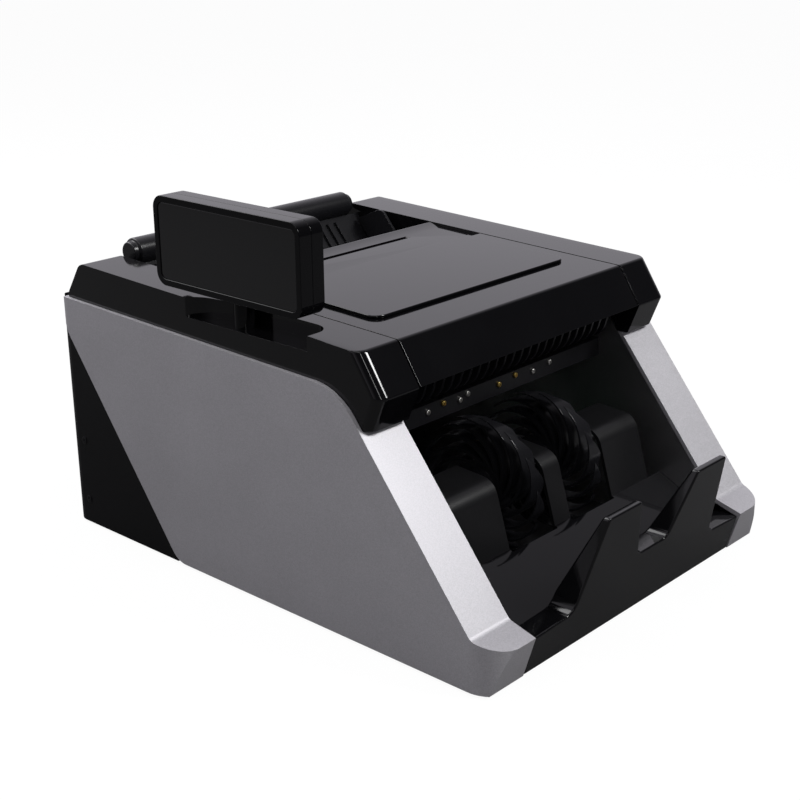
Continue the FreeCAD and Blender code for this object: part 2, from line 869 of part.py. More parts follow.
plate_slot = block(
    (plate_slot_inner, plate_slot_outer),
    (plate_foot[0] - slot_front, plate_back[0] + slot_back),
    (plate_foot[1] + slot_foot, far),
)
plate_ends = []
for side in (-1, 1):
    limits = sorted((side * (plate_half - tab_lap), side * throat))
    y = (plate_foot[0] + plate_wall, plate_foot[0] + plate_wall + tab_depth)
    z = (plate_foot[1] + tab_heights[0], plate_foot[1] + tab_heights[1])
    plate_ends.append(block(limits, y, z))
plate_sheet = slab_x(plate_outline, -plate_half, plate_half).cut([plate_slot, left_of(plate_slot)])
save("stacker_back_plate", union([plate_sheet] + plate_ends))

# Stacker floor, falling from the back plate to the fascia
floor_wall = 2.5
floor_meet = 14.0
floor_gap = 1.2
floor_drop = 4.0
wheel_clear = 1.5
floor_rear = (plate_foot[0] + floor_meet * plate_lean - seam, plate_foot[1] + floor_meet)
floor_front = (fascia_rear_y + floor_gap, fascia_side_z - floor_drop)
floor_outline = [
    floor_front,
    floor_rear,
    (floor_rear[0] - floor_wall * plate_lean, floor_rear[1] - floor_wall),
    (floor_front[0], floor_front[1] - floor_wall),
]
wheel_space = rod_x(stacker_spot, wheel_radius + wheel_clear, plate_slot_inner, plate_slot_outer)
floor_sheet = slab_x(floor_outline, -fascia_half, fascia_half)
save("stacker_floor", floor_sheet.cut([wheel_space, left_of(wheel_space)]))


def finger_point(radius, angle):
    """A point beside the stacker axis: angle runs from the front towards the top."""
    a = math.radians(angle)
    return (stacker_spot[0] - radius * math.cos(a), stacker_spot[1] + radius * math.sin(a))


def beyond_slant(point, angle):
    """The space past a finger's slanted end, which leaves its outer corner as a point."""
    a = math.radians(angle)
    forward = V(0, math.sin(a), math.cos(a))
    normal = forward * wheel_width + V(1, 0, 0) * finger_slant
    space = Part.makeBox(far, far, far, V(-far / 2, -far / 2, 0))
    space.Placement = FreeCAD.Placement(point, FreeCAD.Rotation(V(0, 0, 1), normal))
    return space


# Finger wheels: nested pointed fingers on a hub, tips trailing
def finger_wheel(place):
    low = place - wheel_width / 2
    growth = (wheel_radius - finger_root) / finger_sweep
    pieces = [rod_x(stacker_spot, wheel_boss, low, low + wheel_width)]
    pieces.append(rod_x(stacker_spot, wheel_hub, place - wheel_width, place + wheel_width))
    for i in range(finger_count):
        tip = first_tip + i * 360.0 / finger_count
        root = tip - finger_sweep
        middle = root + finger_sweep / 2
        halfway = finger_root + growth * finger_sweep / 2
        outer = [finger_point(finger_root, root), finger_point(halfway, middle), finger_point(wheel_radius, tip)]
        inner_end = finger_point(wheel_radius - finger_tip, tip)
        inner_middle = finger_point(halfway - finger_wall, middle)
        inner_root = finger_point(finger_root - finger_wall, root)
        ends = [V(low, *p) for p in outer + [inner_end, inner_middle, inner_root]]
        edges = [
            Part.Arc(ends[0], ends[1], ends[2]).toShape(),
            Part.LineSegment(ends[2], ends[3]).toShape(),
            Part.Arc(ends[3], ends[4], ends[5]).toShape(),
            Part.LineSegment(ends[5], ends[0]).toShape(),
        ]
        finger = Part.Face(Part.Wire(edges)).extrude(V(wheel_width, 0, 0))
        pieces.append(finger.cut(beyond_slant(ends[2], tip)))
    return union(pieces).cut(rod_x(stacker_spot, shaft_radius, -far, far))


save("right_stacker_wheel", finger_wheel(wheel_place))
save("left_stacker_wheel", finger_wheel(-wheel_place))

# Comb of curved ribs that turns the notes down into the finger wheels
comb_setback = 10.0
comb_depth = 30.0
comb_height = 24.0
comb_wall = 6.0
comb_root = 5.0
comb_side_margin = 19.0
comb_half = throat - comb_side_margin
comb_pitch = 8.0
tooth_half = 1.0
tooth_top_gap = 1.0
tooth_toe = (5.0, 6.0, 14.0)
comb_front_y = nose_edge_y + comb_setback
comb_rear_y = comb_front_y + comb_depth
comb_top_z = nose_edge_z - tooth_top_gap
comb_low_z = nose_edge_z - comb_height
comb_bar = block((-throat, throat), (comb_rear_y - comb_wall, comb_rear_y), (comb_low_z, rail_base_z - seam))
comb_pieces = [comb_bar]
for i in range(int(2 * comb_half / comb_pitch) + 1):
    x = i * comb_pitch - comb_half
    corners = [
        (comb_rear_y - comb_root, comb_top_z),
        (comb_front_y, comb_top_z),
        (comb_front_y + tooth_toe[0], comb_low_z + tooth_toe[1], tooth_toe[2]),
        (comb_rear_y - comb_root, comb_low_z),
    ]
    comb_pieces.append(slab_x(corners, x - tooth_half, x + tooth_half))
save("note_comb", union(comb_pieces))

# Sensor bar under the note path, with its row of screw heads
sensor_setback = 20.0
sensor_gap = 3.5
sensor_height = 12.0
sensor_depth = 8.0
sensor_screw_radius = 2.2
sensor_screw_height = 1.6
sensor_screw_drop = 5.0
sensor_screw_step = 2.0
sensor_front_y = comb_front_y + sensor_setback
sensor_rear_y = sensor_front_y + sensor_depth
sensor_top_z = comb_low_z - sensor_gap
sensor_low_z = sensor_top_z - sensor_height
sensor_bar = block((-throat, throat), (sensor_front_y, sensor_rear_y), (sensor_low_z, sensor_top_z))
save("sensor_bar", sensor_bar)
sensor_shares = (-0.617, -0.486, -0.346, -0.28, 0.0, 0.15, 0.318, 0.477)
sensor_places = [share * throat for share in sensor_shares]
sensor_heads = []
for i, x in enumerate(sensor_places):
    z = sensor_top_z - sensor_screw_drop + (i % 2) * sensor_screw_step
    head_front_y = sensor_front_y - sensor_screw_height
    sensor_heads.append(rod_y((x, z), sensor_screw_radius, head_front_y, sensor_front_y))
save("sensor_screws", *sensor_heads)


def tyres(spot, radius):
    """Rubber-faced rollers in a row on one shaft."""
    bore = shaft_radius
    return [tube_x(spot, radius, bore, x - roller_width / 2, x + roller_width / 2) for x in roller_places]


def lane(number):
    """The X limits of one belt outside the right frame plate."""
    low = throat + frame_wall + lane_gap + number * belt_lane
    return (low, low + belt_width)


def pulley(spot, radius, number):
    limits = lane(number)
    return rod_x(spot, radius, limits[0] - pulley_lip, limits[1] + pulley_lip)


def ring(spot_a, radius_a, spot_b, radius_b):
    """The outline of a taut loop round two circles, as a solid as wide as a belt."""
    a = V(0, *spot_a)
    b = V(0, *spot_b)
    along = (b - a).normalize()
    across = V(0, -along.z, along.y)
    tilt = math.asin((radius_a - radius_b) / a.distanceToPoint(b))
    edges = []
    starts = []
    for side in (1, -1):
        normal = across * (side * math.cos(tilt)) + along * math.sin(tilt)
        starts.append((a + normal * radius_a, b + normal * radius_b))
    edges.append(Part.LineSegment(*starts[0]).toShape())
    edges.append(Part.Arc(starts[0][1], b + along * radius_b, starts[1][1]).toShape())
    edges.append(Part.LineSegment(starts[1][1], starts[1][0]).toShape())
    edges.append(Part.Arc(starts[1][0], a - along * radius_a, starts[0][0]).toShape())
    return Part.Face(Part.Wire(edges)).extrude(V(belt_width, 0, 0))


def belt(spot_a, radius_a, spot_b, radius_b, number):
    """A flat belt that runs a small gap outside its two pulleys."""
    inner = ring(spot_a, radius_a + belt_gap, spot_b, radius_b + belt_gap)
    grown = belt_gap + belt_wall
    outer = ring(spot_a, radius_a + grown, spot_b, radius_b + grown)
    return outer.cut(inner).translate(V(lane(number)[0], 0, 0))


# Shafts with their pulleys, and the rubber rollers on them
shaft_stub = 2.0
shaft_end = throat + frame_wall + shaft_stub
feed_drive_radius = 16.0
feed_pulley_radius = 12.0
exit_pulley_radius = 9.0
pickup_pulley_radius = 10.0
stacker_pulley_radius = 14.0
motor_pulley_radius = 8.0
small_pulley_radius = 6.0


def shaft(spot, high):
    return rod_x(spot, shaft_radius, -shaft_end, high)


feed_shaft = union(
    [
        shaft(feed_spot, lane(2)[1] + pulley_lip),
        pulley(feed_spot, feed_drive_radius, 0),
        pulley(feed_spot, feed_pulley_radius, 1),
        pulley(feed_spot, feed_pulley_radius, 2),
    ]
)
save("feed_shaft", feed_shaft)
save("feed_rollers", *tyres(feed_spot, feed_radius))
pickup_shaft = [shaft(pickup_spot, lane(2)[1] + pulley_lip), pulley(pickup_spot, pickup_pulley_radius, 2)]
save("pickup_shaft", union(pickup_shaft))
save("pickup_rollers", *tyres(pickup_spot, pickup_radius))
exit_shaft = [shaft(exit_spot, lane(1)[1] + pulley_lip), pulley(exit_spot, exit_pulley_radius, 1)]
save("exit_shaft", union(exit_shaft))
save("exit_rollers", *tyres(exit_spot, exit_radius))
save("pinch_shaft", shaft(pinch_spot, shaft_end))
save("pinch_rollers", *tyres(pinch_spot, pinch_radius))
save("retard_shaft", shaft(retard_spot, shaft_end))
save("retard_rollers", *tyres(retard_spot, retard_radius))
stacker_shaft = [shaft(stacker_spot, lane(0)[1] + pulley_lip), pulley(stacker_spot, stacker_pulley_radius, 0)]
save("stacker_shaft", union(stacker_shaft))

# Motors on the right frame plate, their pulleys and the belts
save("main_motor", rod_x(motor_spot, motor_radius, throat - motor_length, throat))
save("stacker_motor", rod_x(small_motor_spot, small_motor_radius, throat - small_motor_length, throat))


def motor_pulley(spot, radius):
    spindle = rod_x(spot, motor_shaft_radius, throat + seam, lane(0)[1] + pulley_lip)
    return union([spindle, pulley(spot, radius, 0)])


save("main_motor_pulley", motor_pulley(motor_spot, motor_pulley_radius))
save("stacker_motor_pulley", motor_pulley(small_motor_spot, small_pulley_radius))
save("drive_belt", belt(motor_spot, motor_pulley_radius, feed_spot, feed_drive_radius, 0))
save("feed_belt", belt(feed_spot, feed_pulley_radius, exit_spot, exit_pulley_radius, 1))
save("pickup_belt", belt(pickup_spot, pickup_pulley_radius, feed_spot, feed_pulley_radius, 2))
save("stacker_belt", belt(small_motor_spot, small_pulley_radius, stacker_spot, stacker_pulley_radius, 0))

# Main board on standoffs, and the power supply box beside it
board_wall = 1.6
standoff_height = 8.0
standoff_radius = 3.5
standoff_inset = 6.0
board_inset = 20.0
board_gap = 70.0
board_front = 10.0
board_rear = 5.0
chip_place = 30.0
chip_size = 25.0
chip_height = 4.0
socket_size = (10.0, 40.0, 10.0)
socket_inset = 4.0
socket_front = 12.0
supply_width = 65.0
supply_height = 48.0
supply_gaps = (8.0, 12.0)
board_low_x = board_inset - throat
board_x = (board_low_x, throat - board_gap)
board_y = (small_motor_spot[0] + board_front, motor_spot[0] + board_rear)
board_z = deck_z + standoff_height
board = block(board_x, board_y, (board_z, board_z + board_wall))
chip_x = (board_x[0] + chip_place, board_x[0] + chip_place + chip_size)
chip_y = (board_y[0] + chip_place, board_y[0] + chip_place + chip_size)
chip = block(chip_x, chip_y, (board_z, board_z + chip_height))
socket_x = (board_x[1] - socket_inset - socket_size[0], board_x[1] - socket_inset)
socket_y = (board_y[0] + socket_front, board_y[0] + socket_front + socket_size[1])
socket = block(socket_x, socket_y, (board_z, board_z + socket_size[2]))
save("main_board", union([board, chip, socket]))
standoffs = [
    rod_z((x, y), standoff_radius, deck_z, board_z)
    for x in (board_x[0] + standoff_inset, board_x[1] - standoff_inset)
    for y in (board_y[0] + standoff_inset, board_y[1] - standoff_inset)
]
save("board_standoffs", *standoffs)
supply_x = (board_low_x, board_low_x + supply_width)
supply_y = (board_y[1] + supply_gaps[0], rear_wall_y - wall - supply_gaps[1])
save("power_supply", block(supply_x, supply_y, (deck_z, deck_z + supply_height)))

# Power inlet and rocker switch in the rear wall
inlet_depth = 24.0
inlet_x = (inlet_place - inlet_size[0] / 2, inlet_place + inlet_size[0] / 2)
inlet_z = (inlet_height - inlet_size[1] / 2, inlet_height + inlet_size[1] / 2)
flange_rim = 3.0
mouth_rim = 2.5
mouth_depth = 15.0
blade_half = (1.0, 2.0)
blade_tip = 3.0
blade_spots = ((-7.0, -1.0), (0.0, 3.0), (7.0, -1.0))
inlet_body = block(inlet_x, (rear_wall_y - inlet_depth, rear_wall_y), inlet_z)
inlet_flange = block(
    (inlet_x[0] - flange_rim, inlet_x[1] + flange_rim),
    (rear_wall_y, rear_y),
    (inlet_z[0] - flange_rim, inlet_z[1] + flange_rim),
)
inlet_mouth = block(
    (inlet_x[0] + mouth_rim, inlet_x[1] - mouth_rim),
    (rear_wall_y - mouth_depth, rear_y),
    (inlet_z[0] + mouth_rim, inlet_z[1] - mouth_rim),
)
blades = [
    block(
        (inlet_place + x - blade_half[0], inlet_place + x + blade_half[0]),
        (rear_wall_y - mouth_depth - over, rear_wall_y - blade_tip),
        (inlet_height + z - blade_half[1], inlet_height + z + blade_half[1]),
    )
    for x, z in blade_spots
]
save("power_inlet", union([union([inlet_body, inlet_flange]).cut(inlet_mouth)] + blades))

switch_x = (switch_place - switch_size[0] / 2, switch_place + switch_size[0] / 2)
switch_z = (inlet_height - switch_size[1] / 2, inlet_height + switch_size[1] / 2)
bezel_depth = 16.0
bezel_wall = 1.5
rocker_play = 0.4
rocker_end_gap = 0.6
rocker_sink = 5.0
rocker_proud = 4.4
rocker_dish = 1.4
rocker_skirt = 2.0
rocker_belly = 4.0
bezel_setback = 0.6
trunnion_radius = 1.2
trunnion_play = 0.3
bezel_body = block(switch_x, (rear_wall_y - bezel_depth, rear_wall_y), switch_z)
bezel_flange = block(
    (switch_x[0] - bezel_wall, switch_x[1] + bezel_wall),
    (rear_wall_y, rear_y - bezel_setback),
    (switch_z[0] - bezel_wall, switch_z[1] + bezel_wall),
)
rocker_well = block(
    (switch_x[0] + bezel_wall, switch_x[1] - bezel_wall),
    (rear_wall_y - bezel_depth + bezel_wall, rear_y),
    (switch_z[0] + bezel_wall, switch_z[1] - bezel_wall),
)
rocker_spot = (switch_place, rear_wall_y - rocker_sink)
trunnion_bore = rod_z(rocker_spot, trunnion_radius + running_fit, *switch_z)
save("switch_bezel", union([bezel_body, bezel_flange]).cut([rocker_well, trunnion_bore]))
rocker_half = switch_size[0] / 2 - bezel_wall - rocker_play - rocker_end_gap
rocker_outline = [
    (switch_place - rocker_half, rocker_spot[1] - rocker_skirt),
    (switch_place - rocker_half, rocker_spot[1] + rocker_proud),
    (switch_place, rocker_spot[1] + rocker_proud - rocker_dish),
    (switch_place + rocker_half, rocker_spot[1] + rocker_proud),
    (switch_place + rocker_half, rocker_spot[1] - rocker_skirt),
    (switch_place, rocker_spot[1] - rocker_belly),
]
rocker_z = (switch_z[0] + bezel_wall + rocker_play, switch_z[1] - bezel_wall - rocker_play)
trunnions = rod_z(rocker_spot, trunnion_radius, switch_z[0] + trunnion_play, switch_z[1] - trunnion_play)
save("switch_rocker", union([slab_z(rocker_outline, *rocker_z), trunnions]))

# Display: neck through the floor of the recess, rear shell, bezel, smoked window, board
head_face_x = -half_width
head_back_x = head_face_x + head_thickness
head_low_z = top_z(neck_spot[1]) + panel_rise + neck_clear
head_centre_y = neck_spot[1] + head_offset
head_y = (head_centre_y - head_width / 2, head_centre_y + head_width / 2)
head_z = (head_low_z, head_low_z + head_height)
shell_depth = 9.0
head_seam_x = head_back_x - shell_depth


def head_outline(inset):
    """The rounded rectangle of the head, drawn in by inset."""
    low = head_z[0] + inset
    high = head_z[1] - inset
    radius = max(head_corner - inset, head_corner_least)
    return [
        (head_y[0] + inset, low, radius),
        (head_y[1] - inset, low, radius),
        (head_y[1] - inset, high, radius),
        (head_y[0] + inset, high, radius),
    ]


neck_sink = 3.0
neck_stub = 4.0
neck_foot_z = recess_floor_z - neck_stub
save("display_neck", rod_z(neck_spot, neck_radius, neck_foot_z, head_z[0] + neck_sink))
neck_socket = rod_z(neck_spot, neck_radius, head_z[0] - over, head_z[0] + neck_sink)
shell_solid = slab_x(head_outline(0), head_seam_x, head_back_x)
shell_hollow = slab_x(head_outline(wall + neck_sink), head_seam_x - over, head_back_x - wall)
save("display_rear_shell", shell_solid.cut([shell_hollow, neck_socket]))
bezel_rim = 4.0
window_wall = 1.6
window_inset = 0.6
window_play = 0.15
window_ledge = 2.0
board_play = 0.2
bezel_solid = slab_x(head_outline(0), head_face_x, head_seam_x)
bezel_hollow = slab_x(head_outline(bezel_rim + window_ledge), head_face_x - over, head_seam_x + over)
window_seat = slab_x(head_outline(bezel_rim), head_face_x - over, head_face_x + window_inset + window_wall)
save("display_bezel", bezel_solid.cut([bezel_hollow, window_seat, neck_socket]))
window_x = (head_face_x + window_inset, head_face_x + window_inset + window_wall)
save("display_window", slab_x(head_outline(bezel_rim + window_play), *window_x))
display_board_x = (head_seam_x, head_seam_x + board_wall)
save("display_board", slab_x(head_outline(wall + neck_sink + board_play), *display_board_x))

# Screws: in the rear wings and in the rear wall
screw_radius = 3.0
screw_height = 0.4
screws = []
wall_screw_height = 1.2
wall_screw_inset = 22.0
wall_screw_margins = (12.0, 14.0)
wing_screw_inset = 17.0
wing_screw_rows = (0.0, 42.0)
wing_screw = (rear_wall_y - wing_screw_inset, base_z + wing_screw_inset)
head_start = half_width - wing_inset
for height in wing_screw_rows:
    spot = (wing_screw[0], wing_screw[1] + height)
    head = rod_x(spot, screw_radius, head_start, head_start + screw_height)
    screws += [head, left_of(head)]
wall_screw_x = half_width - wall_screw_inset
for z in (base_z + wall_screw_margins[0], deck_top_z - wall_screw_margins[1]):
    for x in (wall_screw_x, -wall_screw_x):
        screws.append(rod_y((x, z), screw_radius, rear_wall_y, rear_wall_y + wall_screw_height))
save("casing_screws", *screws)
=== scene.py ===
import json
import math

import bmesh
import bpy
from mathutils import Matrix, Vector


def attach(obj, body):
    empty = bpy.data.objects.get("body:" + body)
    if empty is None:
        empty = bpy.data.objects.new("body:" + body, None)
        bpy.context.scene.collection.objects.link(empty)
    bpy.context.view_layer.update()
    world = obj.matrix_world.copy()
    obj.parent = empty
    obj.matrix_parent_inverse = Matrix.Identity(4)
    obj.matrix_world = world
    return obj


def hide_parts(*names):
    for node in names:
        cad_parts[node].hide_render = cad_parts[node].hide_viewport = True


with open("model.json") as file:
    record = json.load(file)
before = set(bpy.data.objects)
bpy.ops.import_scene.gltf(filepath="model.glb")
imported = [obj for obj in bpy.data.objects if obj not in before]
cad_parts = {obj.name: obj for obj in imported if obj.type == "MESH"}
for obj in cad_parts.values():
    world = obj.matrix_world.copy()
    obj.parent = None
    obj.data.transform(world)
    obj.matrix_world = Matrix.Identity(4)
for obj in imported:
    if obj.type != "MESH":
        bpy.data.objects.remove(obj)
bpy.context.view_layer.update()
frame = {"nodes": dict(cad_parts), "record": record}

# Base tray: the shallow black moulding that everything stands on.
# Injection-moulded plastic with a low rim; the frame plates and the rear housing screw to it.
body_of_node = {}
for body, names in frame["record"]["behaviour"]["bodies"].items():
    for name in names:
        body_of_node[name] = body


class Wire:
    """A shader socket. Sums on it add Math nodes, and node() adds any other node to its tree."""

    def __init__(self, tree, socket=None):
        self.tree = tree
        self.socket = socket

    def node(self, kind, settings, sockets, output):
        made = self.tree.nodes.new(kind)
        for key, value in settings.items():
            setattr(made, key, value)
        for key, value in sockets.items():
            if isinstance(value, Wire):
                self.tree.links.new(value.socket, made.inputs[key])
            else:
                made.inputs[key].default_value = value
        return Wire(self.tree, made.outputs[output])

    def math(self, operation, first, second):
        return self.node("ShaderNodeMath", {"operation": operation}, {0: first, 1: second}, 0)

    def __add__(self, other):
        return self.math("ADD", self, other)

    __radd__ = __add__

    def __mul__(self, other):
        return self.math("MULTIPLY", self, other)

    __rmul__ = __mul__

    def __sub__(self, other):
        return self.math("SUBTRACT", self, other)

    def __rsub__(self, other):
        return self.math("SUBTRACT", other, self)

    def to(self, shader, name):
        self.tree.links.new(self.socket, shader.inputs[name])


def new_finish(name):
    """An empty finish: the material, its shader, and a wire that holds the point on the piece."""
    material = bpy.data.materials.new(name)
    material.use_nodes = True
    tree = material.node_tree
    point = Wire(tree).node("ShaderNodeTexCoord", {}, {}, "Object")
    return material, tree.nodes["Principled BSDF"], point


def noise(point, scale, detail=3.0):
    return point.node("ShaderNodeTexNoise", {}, {"Vector": point, "Scale": scale, "Detail": detail}, "Fac")


def between(mask, low, high):
    """A colour between two, by a mask."""
    colours = {0: mask, 6: (*low, 1.0), 7: (*high, 1.0)}
    return mask.node("ShaderNodeMix", {"data_type": "RGBA"}, colours, 2)


def relief(height, strength, distance):
    sockets = {"Height": height, "Strength": strength, "Distance": distance}
    return height.node("ShaderNodeBump", {}, sockets, "Normal")


def moulded(name, colour, roughness, grain, depth, shine=0.5):
    """Moulded plastic: a faint cloud in its colour, the tool's texture on its face, handling marks."""
    material, shader, point = new_finish(name)
    cloud = noise(point, scale=22.0, detail=4.0)
    smear = noise(point, scale=95.0, detail=5.0)
    texture = noise(point, grain, 2.0)
    low = tuple(c * 0.82 for c in colour)
    high = tuple(c * 1.25 + 0.0004 for c in colour)
    between(cloud, low, high).to(shader, "Base Color")
    (roughness + (cloud - 0.5) * 0.08 + (smear - 0.5) * 0.1 * roughness).to(shader, "Roughness")
    relief(texture, depth, 0.0002).to(shader, "Normal")
    shader.inputs["Specular IOR Level"].default_value = shine
    return material


def dress(piece, node, material):
    """Gives a piece its finish and its place on the node's body."""
    piece.data.materials.clear()
    piece.data.materials.append(material)
    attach(piece, body_of_node[node])


weld = 2e-6
flat_angle = math.radians(0.8)
sharp_angle = math.radians(28)
crease_angle = math.radians(38)


def eased(node, edge, material, segments=3, reshape=None):
    """The node's own shape with its sharp edges eased, as moulded or deburred pieces are."""
    mesh = frame["nodes"][node].data.copy()
    shape = bmesh.new()
    shape.from_mesh(mesh)
    bmesh.ops.remove_doubles(shape, verts=shape.verts, dist=weld)
    bmesh.ops.dissolve_limit(
        shape, angle_limit=flat_angle, verts=shape.verts, edges=shape.edges, use_dissolve_boundaries=False
    )
    if reshape:
        reshape(shape)
    corners = [e for e in shape.edges if e.is_manifold and e.calc_face_angle(0.0) > sharp_angle]
    bmesh.ops.bevel(
        shape,
        geom=corners,
        offset=edge,
        offset_type="OFFSET",
        segments=segments,
        profile=0.5,
        affect="EDGES",
        clamp_overlap=True,
        material=-1,
    )
    for face in shape.faces:
        face.smooth = True
    for e in shape.edges:
        e.smooth = not e.is_manifold or e.calc_face_angle(0.0) < crease_angle
    shape.to_mesh(mesh)
    shape.free()
    piece = bpy.data.objects.new(node + "_eased", mesh)
    bpy.context.scene.collection.objects.link(piece)
    level = piece.modifiers.new("level", "WEIGHTED_NORMAL")
    level.keep_sharp = True
    dress(piece, node, material)
    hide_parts(node)


def keep(node, material):
    """A node whose shape is right as it is, with a finish of its own."""
    shown = frame["nodes"][node]
    shown.data.materials.clear()
    shown.data.materials.append(material)


tray_plastic = moulded(
    "tray_plastic", colour=(0.008, 0.008, 0.009), roughness=0.5, grain=2600.0, depth=0.25, shine=0.3
)
eased("base_tray", edge=0.0005, material=tray_plastic)

# Rubber feet: four pads under the corners of the base.
# Moulded black rubber discs, pressed into the base.
foot_rubber = moulded("foot_rubber", colour=(0.012, 0.012, 0.012), roughness=0.8, grain=1800.0, depth=0.5)
eased("rubber_feet", edge=0.0005, material=foot_rubber)

# Frame plates: two steel cheeks that carry every shaft.
# Blanked from 2 mm sheet, so the rolling grain runs along them; they stand on the base tray.


def rolled_metal(name, colour, roughness, stretch):
    """Bare metal with fine parallel scratches drawn out along its grain."""
    material, shader, point = new_finish(name)
    stretched = point.node("ShaderNodeMapping", {}, {"Vector": point, "Scale": stretch}, 0)
    grain = noise(stretched, scale=1.0, detail=4.0)
    stain = noise(point, scale=40.0, detail=3.0)
    low = tuple(c * 0.85 for c in colour)
    high = tuple(min(c * 1.12, 1.0) for c in colour)
    between(stain, low, high).to(shader, "Base Color")
    (roughness + (grain - 0.5) * 0.25).to(shader, "Roughness")
    relief(grain, 0.12, 0.0001).to(shader, "Normal")
    shader.inputs["Metallic"].default_value = 1.0
    return material


sheet_steel = rolled_metal(
    "sheet_steel", colour=(0.42, 0.42, 0.43), roughness=0.38, stretch=(400.0, 60.0, 2200.0)
)
for side in ("left", "right"):
    keep(side + "_frame_plate", sheet_steel)

# Shaft bushes: flanged sleeves in the frame plates.
# Turned brass, pressed into the plates.
turned_brass = rolled_metal(
    "turned_brass", colour=(0.52, 0.36, 0.14), roughness=0.3, stretch=(3000.0, 500.0, 500.0)
)
keep("shaft_bushes", turned_brass)

# Motors: a large one for the feed and a small one for the stacker.
# Steel cans with black enamel, screwed to the right frame plate.
motor_enamel = moulded("motor_enamel", colour=(0.02, 0.02, 0.022), roughness=0.35, grain=900.0, depth=0.1)
eased("main_motor", edge=0.0012, material=motor_enamel)
eased("stacker_motor", edge=0.0008, material=motor_enamel)

# Main board, its standoffs and the power supply, on the base tray.
# Green circuit board on turned steel posts; the supply is a folded sheet case.
board_green, board_shader, board_point = new_finish("board_green")
track = board_point.node(
    "ShaderNodeTexBrick",
    {},
    {
        "Vector": board_point,
        "Scale": 120.0,
        "Color1": (0.004, 0.026, 0.012, 1.0),
        "Color2": (0.006, 0.034, 0.015, 1.0),
        "Mortar": (0.012, 0.06, 0.028, 1.0),
        "Mortar Size": 0.04,
    },
    "Color",
)
track.to(board_shader, "Base Color")
(0.3 + noise(board_point, scale=300.0) * 0.2).to(board_shader, "Roughness")
keep("main_board", board_green)
keep("board_standoffs", sheet_steel)
eased("power_supply", edge=0.001, material=sheet_steel)

# Shafts: ground steel rods with their belt pulleys turned on them.
# They run in the brass bushes; the guide rod and the lid's pins are of the same stock.
ground_steel = rolled_metal(
    "ground_steel", colour=(0.5, 0.5, 0.51), roughness=0.24, stretch=(2600.0, 300.0, 300.0)
)
shaft_nodes = ["feed_shaft", "pickup_shaft", "exit_shaft", "pinch_shaft", "retard_shaft", "stacker_shaft"]
for node in shaft_nodes + ["guide_rod", "lid_hinge_pins"]:
    eased(node, edge=0.0004, material=ground_steel, segments=2)

# Rollers: rubber sleeves bonded to hubs on the shafts.
# Ground to size, so their faces are matt with a fine cross grain.
roller_rubber = moulded("roller_rubber", colour=(0.1, 0.095, 0.09), roughness=0.75, grain=2400.0, depth=0.4)
for node in ("feed_rollers", "pickup_rollers", "exit_rollers", "pinch_rollers", "retard_rollers"):
    eased(node, edge=0.0006, material=roller_rubber, segments=2)

# Motor pulleys and belts, outside the right frame plate.
# Turned aluminium pulleys and flat black rubber belts.
turned_aluminium = rolled_metal(
    "turned_aluminium", colour=(0.55, 0.55, 0.57), roughness=0.3, stretch=(2600.0, 300.0, 300.0)
)
belt_rubber = moulded("belt_rubber", colour=(0.014, 0.014, 0.014), roughness=0.7, grain=2400.0, depth=0.4)
for node in ("main_motor_pulley", "stacker_motor_pulley"):
    eased(node, edge=0.0004, material=turned_aluminium, segments=2)
for node in ("drive_belt", "feed_belt", "pickup_belt", "stacker_belt"):
    keep(node, belt_rubber)

# Finger wheels: two wheels of nested curved fingers that lay the notes down.
# Moulded in black plastic, thin at the tips, pressed on the stacker shaft.
wheel_plastic = moulded(
    "wheel_plastic", colour=(0.006, 0.006, 0.007), roughness=0.2, grain=1500.0, depth=0.04, shine=0.4
)
for side in ("left", "right"):
    eased(side + "_stacker_wheel", edge=0.00025, material=wheel_plastic, segments=2)

# Stacker back plate and floor: the pocket that the counted notes stand in.
# The plate is matt textured moulding with a rolled top; the floor is polished black.
plate_plastic = moulded(
    "plate_plastic", colour=(0.005, 0.005, 0.0055), roughness=0.3, grain=2200.0, depth=0.12, shine=0.4
)
floor_plastic = moulded(
    "floor_plastic", colour=(0.002, 0.002, 0.0024), roughness=0.06, grain=200.0, depth=0.008, shine=0.4
)
eased("stacker_back_plate", edge=0.0006, material=plate_plastic)
eased("stacker_floor", edge=0.0004, material=floor_plastic)

# Note comb and sensor bar, under the front of the lid.
# Ribbed black moulding that turns the notes down; the bar carries the counting sensors.
comb_plastic = moulded(
    "comb_plastic", colour=(0.005, 0.005, 0.006), roughness=0.34, grain=1800.0, depth=0.1, shine=0.3
)
eased("note_comb", edge=0.0003, material=comb_plastic, segments=2)
eased("sensor_bar", edge=0.0005, material=comb_plastic, segments=2)

# Front fascia: the slanted wall between the feet with its two upright fins.
# Gloss black moulding with softly rounded edges, clipped between the side panels.
fascia_plastic = moulded(
    "fascia_plastic", colour=(0.002, 0.002, 0.0024), roughness=0.08, grain=220.0, depth=0.008, shine=0.35
)
eased("front_fascia", edge=0.0014, material=fascia_plastic, segments=4)

# Hopper ramp, bar and note guides: the notes lean on the ramp between the two guides.
# Ribbed black moulding, a round bar along its top, and guides that slide on a rod.
ramp_plastic = moulded(
    "ramp_plastic", colour=(0.006, 0.006, 0.007), roughness=0.26, grain=1600.0, depth=0.06, shine=0.4
)
eased("hopper_ramp", edge=0.0004, material=ramp_plastic, segments=2)
eased("hopper_bar", edge=0.001, material=ramp_plastic)
for side in ("left", "right"):
    eased(side + "_note_guide", edge=0.0005, material=ramp_plastic, segments=2)

# Rear housing: the rear wall with its vents and the two wings that close the sides.
# Black moulding with a fine spark texture, screwed to the base tray.
rear_plastic = moulded(
    "rear_plastic", colour=(0.002, 0.002, 0.0024), roughness=0.4, grain=1700.0, depth=0.2, shine=0.14
)
eased("rear_housing", edge=0.0007, material=rear_plastic)

